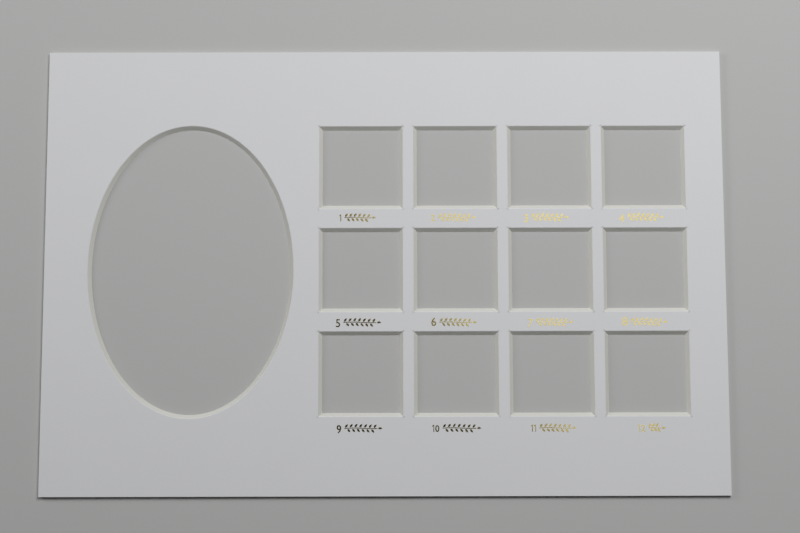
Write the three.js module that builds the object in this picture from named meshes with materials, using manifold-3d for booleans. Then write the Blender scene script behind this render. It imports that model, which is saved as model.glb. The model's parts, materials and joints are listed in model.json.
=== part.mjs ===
// Multi-window picture mount: one sheet of mount board, bevel-cut with a large oval and a grid of
// square windows. It lies face up: X runs along its long side, Y towards its top edge and Z out of
// its face. The origin is the middle of the back face. All sizes are in millimetres.

import * as THREE from "three";
import { mergeVertices } from "three/addons/utils/BufferGeometryUtils.js";
import Module from "manifold-3d";

// The sheet and the slope of the knife, measured from the sheet's plane.
const boardThickness = 1.7;
const bevelAngle = THREE.MathUtils.degToRad(45);

// Sight sizes: what shows through each window, which is its smaller outline, at the back.
const ovalWidth = 89;
const ovalHeight = 128.5;
const squareSide = 34.5;

// The grid of squares, and the board left between one sight edge and the next.
const columns = 4;
const rows = 3;
const columnGap = 8;
const rowGap = 12;
const ovalToGridGap = 14.5;

// The borders, from a sight edge to the edge of the sheet.
const leftBorder = 21;
const rightBorder = 18.5;
const topBorder = 36;
const bottomBorder = 36.5;

// Straight pieces that stand for the curve of the oval.
const ovalSegments = 144;

// How far each cutter runs past both faces of the sheet, so that it cuts clean through.
const cutterOverrun = 1;

const gridWidth = columns * squareSide + (columns - 1) * columnGap;
const gridHeight = rows * squareSide + (rows - 1) * rowGap;
const boardWidth = leftBorder + ovalWidth + ovalToGridGap + gridWidth + rightBorder;
const boardHeight = topBorder + gridHeight + bottomBorder;
const bevelSlope = 1 / Math.tan(bevelAngle);

const wasm = await Module();
wasm.setup();

// Gives a closed geometry as a solid that can be cut.
function solidFrom(geometry) {
  const bare = new THREE.BufferGeometry();
  bare.setAttribute("position", geometry.getAttribute("position"));
  bare.setIndex(geometry.getIndex());
  const merged = mergeVertices(bare);
  return new wasm.Manifold(
    new wasm.Mesh({
      numProp: 3,
      vertProperties: merged.getAttribute("position").array,
      triVerts: new Uint32Array(merged.getIndex().array),
    }),
  );
}

// Gives a solid back as a geometry with flat faces.
function geometryFrom(solid) {
  const mesh = solid.getMesh();
  const shared = new THREE.BufferGeometry();
  shared.setAttribute("position", new THREE.BufferAttribute(mesh.vertProperties, 3));
  shared.setIndex(new THREE.BufferAttribute(mesh.triVerts, 1));
  const faceted = shared.toNonIndexed();
  faceted.computeVertexNormals();
  return faceted;
}

// The sheet before its windows are cut, with its back at height 0.
function blankSheet() {
  const outline = new THREE.Shape([
    new THREE.Vector2(-boardWidth / 2, -boardHeight / 2),
    new THREE.Vector2(boardWidth / 2, -boardHeight / 2),
    new THREE.Vector2(boardWidth / 2, boardHeight / 2),
    new THREE.Vector2(-boardWidth / 2, boardHeight / 2),
  ]);
  return new THREE.ExtrudeGeometry(outline, { depth: boardThickness, bevelEnabled: false });
}

// A square window's outline, moved outwards by the given amount. Its corners stay sharp, so that
// the four bevels meet in mitres.
function squareOutline(outwards) {
  const half = squareSide / 2 + outwards;
  return [
    new THREE.Vector2(half, -half),
    new THREE.Vector2(half, half),
    new THREE.Vector2(-half, half),
    new THREE.Vector2(-half, -half),
  ];
}

// The oval's outline, moved outwards square to its curve, so that the bevel is as wide at the
// ends of the oval as at its sides.
function ovalOutline(outwards) {
  const points = [];
  for (let i = 0; i < ovalSegments; i += 1) {
    const turn = (2 * Math.PI * i) / ovalSegments;
    const onCurve = new THREE.Vector2(
      (ovalWidth / 2) * Math.cos(turn),
      (ovalHeight / 2) * Math.sin(turn),
    );
    const normal = new THREE.Vector2(
      (ovalHeight / 2) * Math.cos(turn),
      (ovalWidth / 2) * Math.sin(turn),
    ).normalize();
    points.push(onCurve.addScaledVector(normal, outwards));
  }
  return points;
}

// What the knife takes out for one window: a plug that widens from the back to the face, lofted
// between the window's outline below the back and its outline above the face.
function windowPlug(outlineAt, centreX, centreY) {
  const lowZ = -cutterOverrun;
  const highZ = boardThickness + cutterOverrun;
  const low = outlineAt(lowZ * bevelSlope);
  const high = outlineAt(highZ * bevelSlope);
  const count = low.length;
  const positions = [];
  low.forEach((p) => positions.push(centreX + p.x, centreY + p.y, lowZ));
  high.forEach((p) => positions.push(centreX + p.x, centreY + p.y, highZ));
  positions.push(centreX, centreY, lowZ, centreX, centreY, highZ);
  const lowCentre = 2 * count;
  const highCentre = 2 * count + 1;
  const faces = [];
  for (let i = 0; i < count; i += 1) {
    const next = (i + 1) % count;
    faces.push(i, next, count + next, i, count + next, count + i);
    faces.push(lowCentre, next, i, highCentre, count + i, count + next);
  }
  const plug = new THREE.BufferGeometry();
  plug.setAttribute("position", new THREE.Float32BufferAttribute(positions, 3));
  plug.setIndex(faces);
  return plug;
}

// The sheet with all of its windows cut.
function mountBoard() {
  let board = solidFrom(blankSheet());
  const ovalX = -boardWidth / 2 + leftBorder + ovalWidth / 2;
  board = board.subtract(solidFrom(windowPlug(ovalOutline, ovalX, 0)));
  const firstColumnX = boardWidth / 2 - rightBorder - gridWidth + squareSide / 2;
  const firstRowY = boardHeight / 2 - topBorder - squareSide / 2;
  for (let row = 0; row < rows; row += 1) {
    for (let column = 0; column < columns; column += 1) {
      const x = firstColumnX + column * (squareSide + columnGap);
      const y = firstRowY - row * (squareSide + rowGap);
      board = board.subtract(solidFrom(windowPlug(squareOutline, x, y)));
    }
  }
  return geometryFrom(board);
}

// White surface paper over a solid white core.
const boardMaterial = new THREE.MeshStandardMaterial({
  color: new THREE.Color(0.84, 0.845, 0.85),
  roughness: 0.85,
  metalness: 0,
});

const board = new THREE.Mesh(mountBoard(), boardMaterial);
board.name = "mount_board";

const mount = new THREE.Group();
mount.name = "picture_mount";
mount.add(board);

export default mount;
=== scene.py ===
# %% [markdown]
# # A bevel-cut picture mount
# A picture mount is a flat sheet of board that lies in a frame between the glass and the pictures.
# This one has a large oval window beside twelve small square ones. Each window is cut with the
# knife leaning over, so a sloping band of the board's core shows all round it.
#
# The solid model gives the sheet's form and its size, which is an estimate. This lesson rebuilds
# it with a fine surface, finishes the paper, the cut core and the gold foil, and lights it as on a
# table in a studio.

import json
import math

import bmesh
import bpy
from mathutils import Matrix, Vector


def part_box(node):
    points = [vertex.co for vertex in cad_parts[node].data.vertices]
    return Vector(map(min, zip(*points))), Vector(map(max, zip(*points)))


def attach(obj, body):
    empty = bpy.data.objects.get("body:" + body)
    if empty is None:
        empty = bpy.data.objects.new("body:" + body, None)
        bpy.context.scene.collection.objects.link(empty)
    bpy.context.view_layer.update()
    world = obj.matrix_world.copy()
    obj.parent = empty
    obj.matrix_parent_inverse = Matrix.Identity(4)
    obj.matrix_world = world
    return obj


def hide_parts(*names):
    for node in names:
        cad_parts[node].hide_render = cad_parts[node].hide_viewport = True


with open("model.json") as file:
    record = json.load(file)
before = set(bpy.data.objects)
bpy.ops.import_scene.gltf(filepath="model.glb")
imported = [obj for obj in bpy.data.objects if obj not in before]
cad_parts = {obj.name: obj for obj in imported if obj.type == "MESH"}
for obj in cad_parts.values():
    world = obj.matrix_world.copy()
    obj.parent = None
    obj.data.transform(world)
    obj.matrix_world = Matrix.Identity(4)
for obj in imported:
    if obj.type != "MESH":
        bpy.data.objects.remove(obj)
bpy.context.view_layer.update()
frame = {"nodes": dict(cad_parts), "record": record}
scene = bpy.context.scene
MM = 0.001

# %% [markdown]
# ## Where the windows are
# The places of the windows can be typed in again, or read from the solid. Reading them is safer:
# if a window moves in the solid, everything here moves with it. The record lists a clear box
# for each window, which says roughly where to look. The exact edges are then the solid's own
# points on its back, where each window is smallest.

# %% Read the windows' outlines from the solid
SQUARE_COUNT = 12
COLUMNS = 4
LOOK_AROUND = 1.0 * MM

board_node = frame["nodes"]["mount_board"]
board_low, board_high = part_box("mount_board")
thickness = board_high.z - board_low.z
boxes = {entry["name"]: entry["box_m"] for entry in frame["record"]["physics"]["openings"]}
half_way_up = (board_low.z + board_high.z) / 2
back_points = [v.co.copy() for v in board_node.data.vertices if v.co.z < half_way_up]


def outline_round(low, high):
    """Centre, width and height of the back points that lie within a little of a box's sides."""
    near = [
        p
        for p in back_points
        if low[0] - LOOK_AROUND < p.x < high[0] + LOOK_AROUND
        and low[1] - LOOK_AROUND < p.y < high[1] + LOOK_AROUND
    ]
    left, right = min(p.x for p in near), max(p.x for p in near)
    bottom, top = min(p.y for p in near), max(p.y for p in near)
    return Vector(((left + right) / 2, (bottom + top) / 2)), right - left, top - bottom


squares = []
for number in range(1, SQUARE_COUNT + 1):
    low, high = boxes[f"window_{number}"]
    squares.append(outline_round(low, high))
square_side = squares[0][1]
first_square = squares[0][0]
last_square = squares[-1][0]
rows = SQUARE_COUNT // COLUMNS
pitch_x = squares[1][0].x - first_square.x
pitch_y = first_square.y - squares[COLUMNS][0].y

wide_box = boxes["oval_window_sides"]
tall_box = boxes["oval_window_middle"]
OVAL_MARGIN = 6 * MM
oval_centre, oval_width, oval_height = outline_round(
    (wide_box[0][0] - OVAL_MARGIN, tall_box[0][1] - OVAL_MARGIN),
    (wide_box[1][0] + OVAL_MARGIN, tall_box[1][1] + OVAL_MARGIN),
)
print(f"squares of {square_side / MM:.2f} mm, {pitch_x / MM:.2f} by {pitch_y / MM:.2f} mm apart")
print(f"an oval of {oval_width / MM:.2f} by {oval_height / MM:.2f} mm")

# %% [markdown]
# ## The camera
# The sheet lies flat, so the camera looks down on it. It could be placed by eye, but straight
# edges give the true place: the sheet looks a little wider at its bottom edge than at its top,
# so the camera stands over the lower part and leans back by a few degrees. The three turns and
# the distance below were found by matching the corners of the sheet and of its windows.

# %% Place the camera
CAMERA_LENS = 63.27
CAMERA_PITCH = math.radians(6.433)
CAMERA_SWING = math.radians(-0.083)
CAMERA_ROLL = math.radians(-0.119)
CAMERA_DISTANCE = 629.4 * MM
CAMERA_RIGHT = 6.79 * MM
CAMERA_UP = 1.70 * MM

camera_data = bpy.data.cameras.new("camera")
camera_data.lens = CAMERA_LENS
camera = bpy.data.objects.new("camera", camera_data)
scene.collection.objects.link(camera)
face_centre = Vector((0, 0, board_high.z))
camera_turn = (
    Matrix.Rotation(CAMERA_PITCH, 4, "X")
    @ Matrix.Rotation(CAMERA_SWING, 4, "Y")
    @ Matrix.Rotation(CAMERA_ROLL, 4, "Z")
)
camera_step = Matrix.Translation((CAMERA_RIGHT, CAMERA_UP, CAMERA_DISTANCE))
camera.matrix_world = Matrix.Translation(face_centre) @ camera_turn @ camera_step
scene.camera = camera
print("the camera is", round(camera.matrix_world.translation.z, 3), "m above the floor")

# %% [markdown]
# ## A small language for node trees
# Materials and geometry trees are graphs of nodes. Wiring them by hand hides the idea behind
# long lists of links. Here a Wire wraps an output socket, so that a sum on wires adds the Math
# nodes for it, also when the plain number comes first, as in 1 - mask. A Recipe holds one
# tree, and its single method makes any other node.


# %% Wires and recipes
class Wire:
    """An output socket that can be used in sums."""

    def __init__(self, recipe, socket):
        self.recipe = recipe
        self.socket = socket

    def __add__(self, other):
        return self.recipe.maths("ADD", self, other)

    def __radd__(self, other):
        return self.recipe.maths("ADD", other, self)

    def __sub__(self, other):
        return self.recipe.maths("SUBTRACT", self, other)

    def __rsub__(self, other):
        return self.recipe.maths("SUBTRACT", other, self)

    def __mul__(self, other):
        return self.recipe.maths("MULTIPLY", self, other)

    def __rmul__(self, other):
        return self.recipe.maths("MULTIPLY", other, self)

    def __truediv__(self, other):
        return self.recipe.maths("DIVIDE", self, other)

    def __rtruediv__(self, other):
        return self.recipe.maths("DIVIDE", other, self)

    def __gt__(self, other):
        return self.recipe.maths("GREATER_THAN", self, other)

    def __lt__(self, other):
        return self.recipe.maths("LESS_THAN", self, other)


class Recipe:
    """One node tree in the making."""

    def __init__(self, tree):
        self.tree = tree

    def make(self, kind, settings=None, inputs=None, output=0):
        """Adds a node: its settings first, then its inputs by name, identifier or place."""
        node = self.tree.nodes.new(kind)
        for name, value in (settings or {}).items():
            if name == "stops":
                self.set_stops(node.color_ramp, value)
            else:
                setattr(node, name, value)
        for key, value in (inputs or {}).items():
            self.feed(self.find(node.inputs, key), value)
        return Wire(self, self.find(node.outputs, output))

    def find(self, sockets, key):
        if isinstance(key, int):
            return sockets[key]
        for socket in sockets:
            if key in (socket.identifier, socket.name) and socket.enabled:
                return socket
        raise KeyError(f"{key} is not one of {[s.name for s in sockets]}")

    def feed(self, socket, value):
        if isinstance(value, Wire):
            self.tree.links.new(value.socket, socket)
        elif isinstance(value, (list, tuple)) and value and isinstance(value[0], Wire):
            for wire in value:
                self.tree.links.new(wire.socket, socket)
        else:
            socket.default_value = value

    def set_stops(self, ramp, stops):
        while len(ramp.elements) < len(stops):
            ramp.elements.new(1)
        for element, (place, colour) in zip(ramp.elements, stops):
            element.position = place
            element.color = (*colour, 1)

    def maths(self, operation, *values):
        return self.make("ShaderNodeMath", {"operation": operation}, dict(enumerate(values)))


print("wires and recipes are ready")

# %% [markdown]
# ## Finishes
# Mount board is a core of pressed paper pulp with a sheet of finer paper glued to each side. The
# face paper is a cool matt white with a tooth too fine to see from a step away. The core is a
# shade warmer, and its pulp shows as a felted grain where the knife went through. A plain
# colour would look like plastic, so each finish gets a grain at its real size: a noise whose
# scale is one over the grain in metres.


# %% Start a material
def start_material(name, constants):
    """A material with one Principled shader, whose constants are set on its own sockets."""
    material = bpy.data.materials.new(name)
    material.use_nodes = True
    recipe = Recipe(material.node_tree)
    shader = material.node_tree.nodes["Principled BSDF"]
    for socket_name, value in constants.items():
        shader.inputs[socket_name].default_value = value
    return material, recipe, shader


def grain(recipe, place, size, detail=2.0, roughness=0.5):
    """A noise with spots of the given size, from 0 to 1."""
    settings = {"noise_dimensions": "3D"}
    inputs = {"Vector": place, "Scale": 1 / size, "Detail": detail, "Roughness": roughness}
    return recipe.make("ShaderNodeTexNoise", settings, inputs, "Fac")


def blend_colours(recipe, amount, first, second):
    """A colour between two others, by an amount from 0 to 1."""
    sockets = {"Factor_Float": amount, "A_Color": first, "B_Color": second}
    return recipe.make("ShaderNodeMix", {"data_type": "RGBA"}, sockets, "Result_Color")


def bumps(recipe, height, depth, strength=1.0):
    """A normal that is pushed about by a height from 0 to 1 that stands for the given depth."""
    inputs = {"Height": height, "Distance": depth, "Strength": strength}
    return recipe.make("ShaderNodeBump", None, inputs, "Normal")


print("material helpers are ready")

# %% [markdown]
# ### Surface paper
# Two close whites drift into each other over a few centimetres, as the pulp of real paper does,
# and a fine tooth breaks up the light. The same recipe makes the face and the plainer back.


# %% Make the surface papers
def surface_paper(name, light, dark, tooth_depth):
    """A matt paper between two close shades, with a tooth of the given depth."""
    material, recipe, shader = start_material(name, {"Specular IOR Level": 0.3})
    place = recipe.make("ShaderNodeTexCoord", None, None, "Object")
    cloud = grain(recipe, place, CLOUD_SIZE, 3.0)
    tooth = grain(recipe, place, TOOTH_SIZE, 4.0, 0.6)
    fibre = grain(recipe, place, FIBRE_SIZE, 3.0)
    mottle = cloud * 0.7 + fibre * 0.3
    recipe.feed(shader.inputs["Base Color"], blend_colours(recipe, mottle, (*dark, 1), (*light, 1)))
    recipe.feed(shader.inputs["Roughness"], 0.78 + tooth * 0.14)
    height = tooth * 0.65 + fibre * 0.35
    recipe.feed(shader.inputs["Normal"], bumps(recipe, height, tooth_depth))
    return material


CLOUD_SIZE = 25 * MM
FIBRE_SIZE = 1.6 * MM
TOOTH_SIZE = 0.35 * MM
FACE_TOOTH = 0.022 * MM
BACK_TOOTH = 0.03 * MM
FACE_LIGHT = (0.745, 0.75, 0.762)
FACE_DARK = (0.72, 0.725, 0.737)
BACK_LIGHT = (0.70, 0.695, 0.675)
BACK_DARK = (0.665, 0.66, 0.64)
face_paper = surface_paper("face_paper", FACE_LIGHT, FACE_DARK, FACE_TOOTH)
back_paper = surface_paper("back_paper", BACK_LIGHT, BACK_DARK, BACK_TOOTH)
print("papers:", face_paper.name, "and", back_paper.name)

# %% [markdown]
# ### The cut core
# The knife shows the core in section. Height in the board decides what is seen: a thin cool line
# of face paper on top, then the warm pulp with faint layers, then the back paper. The layers come
# from a noise squeezed flat, so that it changes quickly through the board and slowly along it.


# %% Make the cut core
PAPER_SKIN = 0.16 * MM
LAYER_SQUEEZE = 14.0
LAYER_SIZE = 2.5 * MM
PULP_SIZE = 0.22 * MM
PULP_DEPTH = 0.03 * MM


def cut_core(name, light, dark, skin_colour):
    """Pressed pulp in section, with a thin line of the face paper along its top."""
    material, recipe, shader = start_material(name, {"Specular IOR Level": 0.25})
    place = recipe.make("ShaderNodeTexCoord", None, None, "Object")
    height_in_board = recipe.make("ShaderNodeSeparateXYZ", None, {0: place}, "Z")
    squeezed = recipe.make("ShaderNodeMapping", None, {"Vector": place, "Scale": (1, 1, LAYER_SQUEEZE)})
    layers = grain(recipe, squeezed, LAYER_SIZE, 3.0)
    pulp = grain(recipe, place, PULP_SIZE, 3.0, 0.6)
    core_colour = blend_colours(recipe, layers * 0.6 + pulp * 0.4, (*dark, 1), (*light, 1))
    in_skin = height_in_board > board_high.z - PAPER_SKIN
    recipe.feed(
        shader.inputs["Base Color"], blend_colours(recipe, in_skin, core_colour, (*skin_colour, 1))
    )
    recipe.feed(shader.inputs["Roughness"], 0.85 + pulp * 0.1)
    recipe.feed(shader.inputs["Normal"], bumps(recipe, layers * 0.4 + pulp * 0.6, PULP_DEPTH))
    return material


CORE_LIGHT = (0.695, 0.69, 0.65)
CORE_DARK = (0.65, 0.645, 0.60)
core = cut_core("board_core", CORE_LIGHT, CORE_DARK, FACE_LIGHT)
print("core:", core.name)

# %% [markdown]
# ### Gold foil
# Hot-pressed foil is a metallised film far thinner than the paper. It mirrors what is overhead,
# so it turns from bright yellow to dark olive across the sheet with no change of colour in the
# foil itself. A low roughness with a little of the paper's tooth does that.


# %% Make the foil
def gold_foil_finish(name, light, dark):
    """A film of metal that lies over the paper's tooth."""
    material, recipe, shader = start_material(name, {"Metallic": 1.0})
    place = recipe.make("ShaderNodeTexCoord", None, None, "Object")
    tooth = grain(recipe, place, FOIL_TOOTH_SIZE, 3.0, 0.6)
    patches = grain(recipe, place, FOIL_PATCH_SIZE, 2.0)
    recipe.feed(shader.inputs["Base Color"], blend_colours(recipe, patches, (*dark, 1), (*light, 1)))
    recipe.feed(shader.inputs["Roughness"], 0.09 + tooth * 0.09)
    recipe.feed(shader.inputs["Normal"], bumps(recipe, tooth, FOIL_TOOTH))
    return material


FOIL_TOOTH_SIZE = 0.3 * MM
FOIL_PATCH_SIZE = 1.2 * MM
FOIL_TOOTH = 0.004 * MM
FOIL_LIGHT = (0.88, 0.75, 0.33)
FOIL_DARK = (0.80, 0.65, 0.25)
gold_foil = gold_foil_finish("gold_foil", FOIL_LIGHT, FOIL_DARK)
print("foil:", gold_foil.name)

# %% [markdown]
# ## Geometry trees
# A geometry tree is a recipe for a mesh with named sizes. The helpers below start a tree, run it
# on an empty object, and keep the result as a plain mesh. A size is given to the modifier by the
# identifier of its socket, because names may repeat.

# %% Helpers for geometry trees
SOCKET_KINDS = {float: "NodeSocketFloat", int: "NodeSocketInt", bpy.types.Material: "NodeSocketMaterial"}


def start_geometry(name, sizes):
    """A geometry tree with a named input for each size, and the wires that bring them in."""
    tree = bpy.data.node_groups.new(name, "GeometryNodeTree")
    tree.interface.new_socket("Geometry", in_out="OUTPUT", socket_type="NodeSocketGeometry")
    for size_name, value in sizes.items():
        tree.interface.new_socket(size_name, in_out="INPUT", socket_type=SOCKET_KINDS[type(value)])
    recipe = Recipe(tree)
    entry = tree.nodes.new("NodeGroupInput")
    wires = {size_name: Wire(recipe, entry.outputs[size_name]) for size_name in sizes}
    return recipe, wires


def end_geometry(recipe, geometry):
    """Ends a tree: its instances become real mesh, which goes to the output."""
    real = recipe.make("GeometryNodeRealizeInstances", None, {"Geometry": geometry})
    leave = recipe.tree.nodes.new("NodeGroupOutput")
    recipe.tree.links.new(real.socket, leave.inputs["Geometry"])


def grow(tree, name, sizes):
    """Runs a geometry tree with these sizes and gives a plain mesh object, with no empty slots."""
    seed_object = bpy.data.objects.new(name + "_seed", bpy.data.meshes.new(name + "_seed"))
    scene.collection.objects.link(seed_object)
    modifier = seed_object.modifiers.new("grow", "NODES")
    modifier.node_group = tree
    for item in tree.interface.items_tree:
        if item.in_out == "INPUT":
            modifier[item.identifier] = sizes[item.name]
    evaluated = seed_object.evaluated_get(bpy.context.evaluated_depsgraph_get())
    mesh = bpy.data.meshes.new_from_object(evaluated)
    seed_object.modifiers.remove(modifier)
    bpy.data.objects.remove(seed_object)
    for place in reversed(range(len(mesh.materials))):
        if mesh.materials[place] is None:
            mesh.materials.pop(index=place)
    mesh.name = name
    piece = bpy.data.objects.new(name, mesh)
    scene.collection.objects.link(piece)
    return piece


print("geometry helpers are ready")

# %% [markdown]
# ## The board
# The sheet follows a rule: a flat blank, less one tapered plug for each window. So a geometry
# tree makes it. A plug starts as a straight-sided prism whose outline is pushed outwards as it
# rises. For a square that push scales the outline, which keeps the mitres. For the oval it goes
# square to the curve, because a scaled oval would give a bevel that is wider at its ends.
# The push also opens a little faster just under the face, which softens the cut edge by a few
# hundredths of a millimetre, as a knife leaves it, so that the edge catches the light. At each
# corner of a square the knife also ran on a little, which leaves two short slits in the face.

# %% Sizes of the board
BEVEL_RUN = thickness
OVERRUN = 0.6 * MM
SOFT_EDGE = 0.10 * MM
EDGE_FLARE = 1.2
OVERCUT = 0.7 * MM
SLIT = 0.13 * MM
SLIT_DEPTH = 0.4 * MM
FOIL_RISE = 0.03 * MM
board_sizes = {
    "Board Width": board_high.x - board_low.x,
    "Board Height": board_high.y - board_low.y,
    "Thickness": thickness - FOIL_RISE,
    "Oval Width": oval_width,
    "Oval Height": oval_height,
    "Oval X": oval_centre.x,
    "Oval Y": oval_centre.y,
    "Square Side": square_side,
    "Columns": COLUMNS,
    "Rows": rows,
    "Pitch X": pitch_x,
    "Pitch Y": pitch_y,
    "Squares X": (first_square.x + last_square.x) / 2,
    "Squares Y": (first_square.y + last_square.y) / 2,
    "Slope": BEVEL_RUN / thickness,
    "Soft Edge": SOFT_EDGE,
    "Overrun": OVERRUN,
    "Overcut": OVERCUT,
    "Slit": SLIT,
    "Slit Depth": SLIT_DEPTH,
    "Face": face_paper,
    "Back": back_paper,
    "Core": core,
}
print(len(board_sizes), "inputs for the board")


# %% The tree of the board
def position_parts(recipe):
    """The x, y and z of each point."""
    place = recipe.make("GeometryNodeInputPosition")
    return [recipe.make("ShaderNodeSeparateXYZ", None, {0: place}, axis) for axis in "XYZ"]


def outward_push(recipe, size, height):
    """How far the outline has moved out at this height: the bevel, and the softened edge."""
    above_soft_start = height - (size["Thickness"] - size["Soft Edge"])
    flare = recipe.maths("MAXIMUM", above_soft_start, 0.0)
    return height * size["Slope"] + flare * EDGE_FLARE


def plug_prism(recipe, size, corners, rings):
    """A prism of radius 1 round the origin, from below the back to above the face."""
    depth = size["Thickness"] + size["Overrun"] * 2.0
    inputs = {"Vertices": corners, "Side Segments": rings, "Radius": 1.0, "Depth": depth}
    prism = recipe.make("GeometryNodeMeshCylinder", None, inputs, "Mesh")
    lift = recipe.make("ShaderNodeCombineXYZ", None, {"Z": size["Thickness"] / 2.0})
    return recipe.make("GeometryNodeTransform", None, {"Geometry": prism, "Translation": lift})


def moved_to(recipe, geometry, x, y, z=0.0):
    """The geometry with every point set to these coordinates."""
    place = recipe.make("ShaderNodeCombineXYZ", None, {"X": x, "Y": y, "Z": z})
    return recipe.make("GeometryNodeSetPosition", None, {"Geometry": geometry, "Position": place})


def oval_plug(recipe, size):
    """The plug of the oval, pushed out square to its curve."""
    prism = plug_prism(recipe, size, OVAL_POINTS, PLUG_RINGS)
    across, along, height = position_parts(recipe)
    half_width = size["Oval Width"] / 2.0
    half_height = size["Oval Height"] / 2.0
    normal_x = across * half_height
    normal_y = along * half_width
    length = recipe.maths("SQRT", normal_x * normal_x + normal_y * normal_y)
    push = outward_push(recipe, size, height)
    x = size["Oval X"] + across * half_width + normal_x / length * push
    y = size["Oval Y"] + along * half_height + normal_y / length * push
    return moved_to(recipe, prism, x, y, height)


def overcuts(recipe, size):
    """The short slits in the face where the knife ran on past each corner of a square."""
    face_side = size["Square Side"] + size["Thickness"] * size["Slope"] * 2.0
    corners = {"Size X": face_side, "Size Y": face_side, "Vertices X": 2, "Vertices Y": 2}
    points = recipe.make("GeometryNodeMeshGrid", None, corners, "Mesh")
    across, along, _ = position_parts(recipe)
    half_slit = size["Overcut"] / 2.0
    slits = []
    for way_x, way_y in ((1.0, 0.0), (0.0, 1.0)):
        x = across + recipe.maths("SIGN", across) * half_slit * way_x
        y = along + recipe.maths("SIGN", along) * half_slit * way_y
        placed = moved_to(recipe, points, x, y, size["Thickness"])
        extent = recipe.make(
            "ShaderNodeCombineXYZ",
            None,
            {
                "X": size["Overcut"] * way_x + size["Slit"] * way_y,
                "Y": size["Overcut"] * way_y + size["Slit"] * way_x,
                "Z": size["Slit Depth"] * 2.0,
            },
        )
        box = recipe.make("GeometryNodeMeshCube", None, {"Size": extent}, "Mesh")
        slits.append(recipe.make("GeometryNodeInstanceOnPoints", None, {"Points": placed, "Instance": box}))
    return slits


def square_plugs(recipe, size):
    """The plugs of all the squares, each with its overcuts, on their grid."""
    prism = plug_prism(recipe, size, 4, PLUG_RINGS)
    turned = recipe.make(
        "GeometryNodeTransform", None, {"Geometry": prism, "Rotation": (0, 0, math.pi / 4)}
    )
    across, along, height = position_parts(recipe)
    reach = (size["Square Side"] / 2.0 + outward_push(recipe, size, height)) * math.sqrt(2)
    plug = moved_to(recipe, turned, across * reach, along * reach, height)
    cutter = recipe.make("GeometryNodeJoinGeometry", None, {"Geometry": [plug, *overcuts(recipe, size)]})
    grid = recipe.make(
        "GeometryNodeMeshGrid",
        None,
        {
            "Size X": size["Pitch X"] * (size["Columns"] - 1),
            "Size Y": size["Pitch Y"] * (size["Rows"] - 1),
            "Vertices X": size["Columns"],
            "Vertices Y": size["Rows"],
        },
        "Mesh",
    )
    plugs = recipe.make("GeometryNodeInstanceOnPoints", None, {"Points": grid, "Instance": cutter})
    real = recipe.make("GeometryNodeRealizeInstances", None, {"Geometry": plugs})
    place = recipe.make("ShaderNodeCombineXYZ", None, {"X": size["Squares X"], "Y": size["Squares Y"]})
    return recipe.make("GeometryNodeTransform", None, {"Geometry": real, "Translation": place})


def build_board_tree(sizes):
    """The whole board: a blank, less its plugs, with a finish for each way a face looks."""
    recipe, size = start_geometry("bevel_cut_board", sizes)
    extent = recipe.make(
        "ShaderNodeCombineXYZ",
        None,
        {"X": size["Board Width"], "Y": size["Board Height"], "Z": size["Thickness"]},
    )
    blank = recipe.make("GeometryNodeMeshCube", None, {"Size": extent}, "Mesh")
    lift = recipe.make("ShaderNodeCombineXYZ", None, {"Z": size["Thickness"] / 2.0})
    sheet = recipe.make("GeometryNodeTransform", None, {"Geometry": blank, "Translation": lift})
    plugs = [oval_plug(recipe, size), square_plugs(recipe, size)]
    cut = recipe.make(
        "GeometryNodeMeshBoolean",
        {"operation": "DIFFERENCE", "solver": "EXACT"},
        {"Mesh 1": sheet, "Mesh 2": plugs, "Self Intersection": True},
        "Mesh",
    )
    normal = recipe.make("GeometryNodeInputNormal")
    facing = recipe.make("ShaderNodeSeparateXYZ", None, {0: normal}, "Z")
    cored = recipe.make("GeometryNodeSetMaterial", None, {"Geometry": cut, "Material": size["Core"]})
    faced = recipe.make(
        "GeometryNodeSetMaterial",
        None,
        {"Geometry": cored, "Selection": facing > FACING_UP, "Material": size["Face"]},
    )
    backed = recipe.make(
        "GeometryNodeSetMaterial",
        None,
        {"Geometry": faced, "Selection": facing < -FACING_UP, "Material": size["Back"]},
    )
    end_geometry(recipe, backed)
    return recipe.tree


OVAL_POINTS = 320
PLUG_RINGS = 40
FACING_UP = 0.9
board_tree = build_board_tree(board_sizes)
print("the board's tree has", len(board_tree.nodes), "nodes")

# %% Grow the board
board = grow(board_tree, "board", board_sizes)
print("the board has", len(board.data.polygons), "faces")
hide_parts("mount_board")
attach(board, "root")

# %% [markdown]
# ## The labels
# Each square has a small label in gold foil under it. The label here is a plain number from 1 to
# 12 and a leafy sprig beside it. The figures could be drawn stroke by stroke, but Blender's own
# font has clean outlines, so a text object makes them. Only its 1 is a plain bar, so that one is
# drawn. The font's own offset closes up the small hole in the 4, so the strokes are thickened by
# moving the walls of the finished figures outwards. Old-style figures stand unevenly, as in this
# kind of label: some are low, some hang under the line and some rise above it.

# %% Sizes of the figures
FOIL_DEPTH = 0.05 * MM
# the height of each figure and how far it hangs under the line, in millimetres
FIGURES = {
    "0": (2.85, 0.0),
    "1": (3.0, 0.0),
    "2": (2.85, 0.0),
    "3": (3.5, 0.6),
    "4": (3.5, 0.6),
    "5": (3.5, 0.45),
    "6": (3.7, 0.0),
    "7": (3.5, 0.6),
    "8": (3.7, 0.0),
    "9": (3.5, 0.55),
}
FIGURE_GAP = 0.45 * MM
FIGURE_SQUEEZE = 0.92
STROKE_GAIN = 0.07 * MM
CORNER_REACH = 1.5
ONE_OUTLINE = ((0.55, 0), (0.85, 0), (0.85, 3), (0.55, 3), (0, 2.55), (0, 2.2), (0.55, 2.6))
MERGE_DISTANCE = 0.0005 * MM
print("figures from", min(FIGURES), "to", max(FIGURES))


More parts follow.
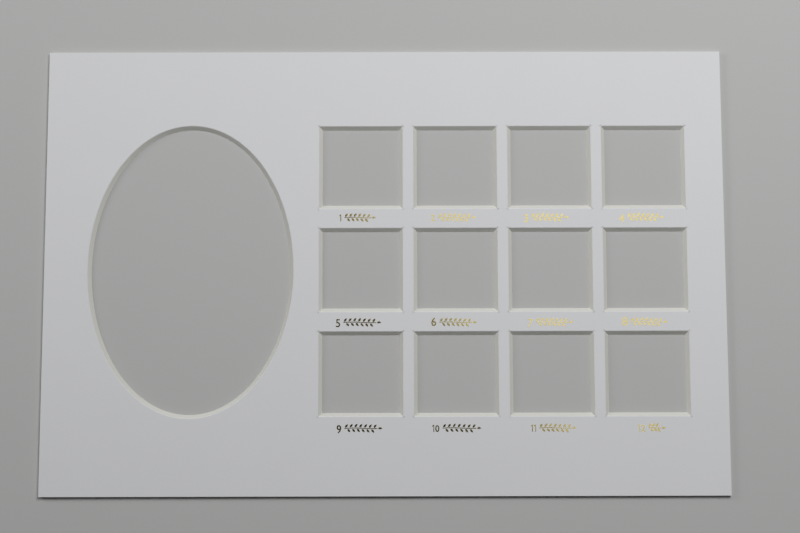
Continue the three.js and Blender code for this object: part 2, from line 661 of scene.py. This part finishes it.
# %% Make one figure
def closed_mesh(piece):
    """Merges the doubled points of a made mesh and turns all its faces outwards."""
    shape = bmesh.new()
    shape.from_mesh(piece.data)
    bmesh.ops.remove_doubles(shape, verts=shape.verts, dist=MERGE_DISTANCE)
    bmesh.ops.recalc_face_normals(shape, faces=shape.faces)
    for face in shape.faces:
        face.smooth = False
    shape.to_mesh(piece.data)
    shape.free()


def typed_figure(character):
    """A figure from the font. A 9 is a 6 turned round."""
    text = bpy.data.curves.new("figure", "FONT")
    text.body = "6" if character == "9" else character
    text.extrude = 0.5
    holder = bpy.data.objects.new("figure", text)
    scene.collection.objects.link(holder)
    evaluated = holder.evaluated_get(bpy.context.evaluated_depsgraph_get())
    mesh = bpy.data.meshes.new_from_object(evaluated)
    bpy.data.objects.remove(holder)
    if character == "9":
        mesh.transform(Matrix.Rotation(math.pi, 4, "Z"))
    return mesh


def drawn_one():
    """A 1 drawn point by point, because the font's own is a plain bar."""
    count = len(ONE_OUTLINE)
    points = [(x, y, z) for z in (-0.5, 0.5) for x, y in ONE_OUTLINE]
    walls = [(i, (i + 1) % count, (i + 1) % count + count, i + count) for i in range(count)]
    lids = [tuple(reversed(range(count))), tuple(range(count, 2 * count))]
    mesh = bpy.data.meshes.new("figure")
    mesh.from_pydata(points, [], walls + lids)
    return mesh


def fatten(piece, amount):
    """Moves the walls of a flat closed piece outwards, but less at sharp corners, where they'd cross."""
    shape = bmesh.new()
    shape.from_mesh(piece.data)
    pushes = []
    for vert in shape.verts:
        walls = [face.normal for face in vert.link_faces if abs(face.normal.z) < 0.5]
        mean = sum(walls, Vector()) / len(walls)
        pushes.append((vert, mean.normalized() * min(1.0, CORNER_REACH * mean.length) * amount))
    for vert, push in pushes:
        vert.co += push
    shape.to_mesh(piece.data)
    shape.free()


def make_figure(character):
    """A figure of foil with its left side at x = 0 and its line at y = 0, and its width."""
    height, below_line = FIGURES[character]
    mesh = drawn_one() if character == "1" else typed_figure(character)
    left, right = min(v.co.x for v in mesh.vertices), max(v.co.x for v in mesh.vertices)
    bottom, top = min(v.co.y for v in mesh.vertices), max(v.co.y for v in mesh.vertices)
    size = height * MM / (top - bottom)
    for v in mesh.vertices:
        x = (v.co.x - left) * size * FIGURE_SQUEEZE + STROKE_GAIN
        y = (v.co.y - bottom) * size - below_line * MM
        v.co = (x, y, v.co.z * FOIL_DEPTH)
    piece = bpy.data.objects.new("figure_" + character, mesh)
    scene.collection.objects.link(piece)
    closed_mesh(piece)
    fatten(piece, STROKE_GAIN)
    return piece, (right - left) * size * FIGURE_SQUEEZE + 2 * STROKE_GAIN


trial, trial_width = make_figure("8")
print(f"the figure 8 is {trial_width / MM:.2f} mm wide")
bpy.data.objects.remove(trial)

# %% [markdown]
# ### The sprig
# A sprig is a stem with leaves on both sides in turn and one at its tip: a thing that repeats
# along a path, so it is a geometry tree. A leaf starts as a thin bar with stations along its
# length, and a sine draws its width in to a point at both ends. The leaves stand just off the
# stem, as they do in print, so no two pieces of foil lie on top of each other.

# %% Sizes of the sprig
sprig_sizes = {
    "Length": 16.0 * MM,
    "Leaves": 12,
    "Leaf Length": 1.95 * MM,
    "Leaf Width": 0.94 * MM,
    "Leaf Gap": 0.36 * MM,
    "Lean": math.radians(50),
    "Stem Width": 0.34 * MM,
    "Sway": 0.16 * MM,
    "Depth": FOIL_DEPTH,
    "Foil": gold_foil,
}
LEAF_STATIONS = 11
LEAF_BELLY = 0.8
STEM_STATIONS = 40
FIRST_LEAF = 0.3
TIP_ROOM = 1.6


# %% The tree of the sprig
def leaf_shape(recipe, size):
    """One leaf, with its foot at the origin and its tip along x."""
    extent = recipe.make("ShaderNodeCombineXYZ", None, {"X": 1.0, "Y": 1.0, "Z": size["Depth"]})
    inputs = {"Size": extent, "Vertices X": LEAF_STATIONS, "Vertices Y": 2, "Vertices Z": 2}
    bar = recipe.make("GeometryNodeMeshCube", None, inputs, "Mesh")
    along, across, height = position_parts(recipe)
    station = along + 0.5
    fullness = recipe.maths("SINE", recipe.maths("POWER", station, LEAF_BELLY) * math.pi)
    return moved_to(
        recipe, bar, station * size["Leaf Length"], across * size["Leaf Width"] * fullness, height
    )


def swayed(recipe, size, along):
    """How far the stem swings to the side at this distance along it."""
    return size["Sway"] * recipe.maths("SINE", along / size["Length"] * math.tau)


def stem_shape(recipe, size):
    """The stem, which stops short of the leaf at the tip."""
    stem_length = size["Length"] - size["Leaf Length"] - size["Leaf Gap"]
    end = recipe.make("ShaderNodeCombineXYZ", None, {"X": stem_length})
    line = recipe.make("GeometryNodeCurvePrimitiveLine", None, {"End": end})
    stations = recipe.make("GeometryNodeResampleCurve", None, {"Curve": line, "Count": STEM_STATIONS})
    along, _, _ = position_parts(recipe)
    path = moved_to(recipe, stations, along, swayed(recipe, size, along))
    upright = recipe.make("GeometryNodeSetCurveNormal", {"mode": "Z_UP"}, {"Curve": path})
    flat = {"Width": size["Stem Width"], "Height": size["Depth"]}
    section = recipe.make("GeometryNodeCurvePrimitiveQuadrilateral", None, flat)
    inputs = {"Curve": upright, "Profile Curve": section, "Fill Caps": True}
    return recipe.make("GeometryNodeCurveToMesh", None, inputs)


def leaves_along(recipe, size, leaf):
    """Copies of the leaf along the stem, on its two sides in turn."""
    step = (size["Length"] - size["Leaf Length"] * TIP_ROOM) / size["Leaves"]
    stride = recipe.make("ShaderNodeCombineXYZ", None, {"X": step})
    start = recipe.make("ShaderNodeCombineXYZ", None, {"X": step * FIRST_LEAF})
    inputs = {"Count": size["Leaves"], "Start Location": start, "Offset": stride}
    points = recipe.make("GeometryNodeMeshLine", {"mode": "OFFSET"}, inputs)
    index = recipe.make("GeometryNodeInputIndex")
    side = 1.0 - recipe.maths("MODULO", index, 2.0) * 2.0
    along, _, _ = position_parts(recipe)
    off_stem = swayed(recipe, size, along) + side * size["Leaf Gap"]
    placed = moved_to(recipe, points, along, off_stem)
    turn = recipe.make("ShaderNodeCombineXYZ", None, {"Z": side * size["Lean"]})
    inputs = {"Points": placed, "Instance": leaf, "Rotation": turn}
    return recipe.make("GeometryNodeInstanceOnPoints", None, inputs)


def build_sprig_tree(sizes):
    """The whole sprig: its stem, its leaves and the one at its tip."""
    recipe, size = start_geometry("leafy_sprig", sizes)
    leaf = leaf_shape(recipe, size)
    tip = recipe.make("ShaderNodeCombineXYZ", None, {"X": size["Length"] - size["Leaf Length"]})
    tip_leaf = recipe.make("GeometryNodeTransform", None, {"Geometry": leaf, "Translation": tip})
    parts = [stem_shape(recipe, size), leaves_along(recipe, size, leaf), tip_leaf]
    joined = recipe.make("GeometryNodeJoinGeometry", None, {"Geometry": parts})
    foiled = recipe.make("GeometryNodeSetMaterial", None, {"Geometry": joined, "Material": size["Foil"]})
    end_geometry(recipe, foiled)
    return recipe.tree


sprig_tree = build_sprig_tree(sprig_sizes)
print("the sprig's tree has", len(sprig_tree.nodes), "nodes")

# %% [markdown]
# ### The labels in their places
# On the photograph a label isn't quite in the middle under its square, and each is off by its
# own amount. The widths, the drops and these twelve shifts to the side were measured there by a
# small script, then rounded and nudged. The sprig fills what the figures leave of the label's
# width, so it is grown anew for each label.

# %% Places of the labels
LABEL_GAP = 1.4 * MM
LABEL_DROPS = (7.25 * MM, 7.95 * MM, 8.35 * MM)
SPRIG_RISE = 1.6 * MM
LEAF_PITCH = 1.3 * MM
LABEL_WIDTH = 20.3 * MM
OTHER_WIDTHS = {1: 16.5 * MM, 10: 21.8 * MM, 12: 12.4 * MM}
SHIFTS_IN_MM = (-1.5, -0.8, -1.5, -1.2, -1.0, -0.9, -0.4, -0.7, -0.5, 0.0, 0.4, 1.3)
print("labels are", round(LABEL_WIDTH / MM, 1), "mm wide, apart from", sorted(OTHER_WIDTHS))


# %% Set each label under its square
def make_label(number, square_centre, row):
    """The figures and the sprig of one label, in their place on the face."""
    parts = []
    reach = 0.0
    for character in str(number):
        figure, figure_width = make_figure(character)
        figure.data.transform(Matrix.Translation((reach, 0, 0)))
        figure.data.materials.clear()
        figure.data.materials.append(gold_foil)
        parts.append(figure)
        reach += figure_width + FIGURE_GAP
    reach += LABEL_GAP - FIGURE_GAP
    width = OTHER_WIDTHS.get(number, LABEL_WIDTH)
    length = width - reach
    sizes = dict(sprig_sizes, Length=length, Leaves=round(length / LEAF_PITCH))
    sprig = grow(sprig_tree, f"sprig_{number}", sizes)
    sprig.data.transform(Matrix.Translation((reach, SPRIG_RISE, 0)))
    parts.append(sprig)
    left = square_centre.x + SHIFTS_IN_MM[number - 1] * MM - width / 2
    line = square_centre.y - square_side / 2 - LABEL_DROPS[row]
    top_of_foil = board_high.z - FOIL_DEPTH / 2
    for part in parts:
        part.data.transform(Matrix.Translation((left, line, top_of_foil)))
    return parts


def join_pieces(name, parts):
    """One object from several, whose points and materials stay as they are."""
    with bpy.context.temp_override(active_object=parts[0], selected_editable_objects=parts):
        bpy.ops.object.join()
    parts[0].name = name
    parts[0].data.name = name
    return parts[0]


label_parts = []
for number, (centre, _, _) in enumerate(squares, start=1):
    label_parts += make_label(number, centre, (number - 1) // COLUMNS)
labels = join_pieces("foil_labels", label_parts)
closed_mesh(labels)
print("the labels have", len(labels.data.polygons), "faces")
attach(labels, "root")

# %% [markdown]
# ## The studio
# The floor is plain and pale. The main lamp is a soft one beyond the top edge, which leaves the
# top bevels dark and lights the bottom ones. A weaker one fills from the left, so that the oval's
# two sides come out about alike. A faint panel hangs above and to the right: it adds little
# light, but the foil mirrors it, and the panel's edge decides which labels are bright. The
# places and strengths of all three were fitted to tones measured on the photograph.

# %% Floor, lamps and world
FLOOR_SIDE = 8.0
FLOOR_DROP = 0.02 * MM
FLOOR_COLOUR = (0.5, 0.5, 0.495)
floor_mesh = bpy.data.meshes.new("floor")
half_floor = FLOOR_SIDE / 2
floor_mesh.from_pydata(
    [
        (-half_floor, -half_floor, -FLOOR_DROP),
        (half_floor, -half_floor, -FLOOR_DROP),
        (half_floor, half_floor, -FLOOR_DROP),
        (-half_floor, half_floor, -FLOOR_DROP),
    ],
    [],
    [(0, 1, 2, 3)],
)
floor = bpy.data.objects.new("floor", floor_mesh)
scene.collection.objects.link(floor)
floor_material, _, _ = start_material(
    "studio_floor", {"Base Color": (*FLOOR_COLOUR, 1), "Roughness": 0.9}
)
floor_mesh.materials.append(floor_material)


def softbox(name, place, aim, width, height, radiance, turn_deg=0.0):
    """A rectangular lamp at a place, aimed at a point, with its width along the turned x axis."""
    data = bpy.data.lights.new(name, "AREA")
    data.shape = "RECTANGLE"
    data.size = width
    data.size_y = height
    data.energy = math.pi * width * height * radiance
    lamp = bpy.data.objects.new(name, data)
    scene.collection.objects.link(lamp)
    z_axis = (Vector(place) - Vector(aim)).normalized()
    turn = math.radians(turn_deg)
    sideways = Vector((math.cos(turn), math.sin(turn), 0))
    x_axis = (sideways - z_axis * sideways.dot(z_axis)).normalized()
    axes = Matrix((x_axis, z_axis.cross(x_axis), z_axis)).transposed()
    lamp.matrix_world = Matrix.Translation(place) @ axes.to_4x4()
    lamp.visible_camera = False
    return lamp


softbox(
    "main_softbox",
    place=(0.28, 0.45, 0.75),
    aim=(0.06, 0, 0),
    width=0.45,
    height=0.4,
    radiance=10.4,
)
softbox(
    "foil_panel",
    place=(0.265, 0.174, 1.3),
    aim=(0.265, 0.174, 0),
    width=0.40,
    height=0.545,
    radiance=0.80,
    turn_deg=41.5,
)
softbox(
    "left_fill",
    place=(-0.79, 0.35, 0.39),
    aim=(-0.05, 0, 0),
    width=0.35,
    height=0.35,
    radiance=6.0,
)

world = bpy.data.worlds.new("studio")
world.use_nodes = True
scene.world = world
world_recipe = Recipe(world.node_tree)
background = world.node_tree.nodes["Background"]
direction = world_recipe.make("ShaderNodeTexCoord", None, None, "Generated")
skyward = world_recipe.make("ShaderNodeSeparateXYZ", None, {0: direction}, "Z")
HIGH_SKY = 0.6
HORIZON = (0.62, 0.62, 0.62)
OVERHEAD = (0.03, 0.03, 0.03)
AMBIENT = (0.05, 0.05, 0.051)
seen = world_recipe.make(
    "ShaderNodeValToRGB", {"stops": [(0.0, HORIZON), (HIGH_SKY, OVERHEAD)]}, {0: skyward}, "Color"
)
looked_at = world_recipe.make("ShaderNodeLightPath", None, None, "Is Camera Ray")
for ray in ("Is Glossy Ray", "Is Transmission Ray"):
    other = world_recipe.make("ShaderNodeLightPath", None, None, ray)
    looked_at = world_recipe.maths("MAXIMUM", looked_at, other)
shade = blend_colours(world_recipe, looked_at, (*AMBIENT, 1), seen)
world_recipe.feed(background.inputs["Color"], shade)
scene.view_settings.view_transform = "Standard"
print("the studio has", len(bpy.data.lights), "lamps")
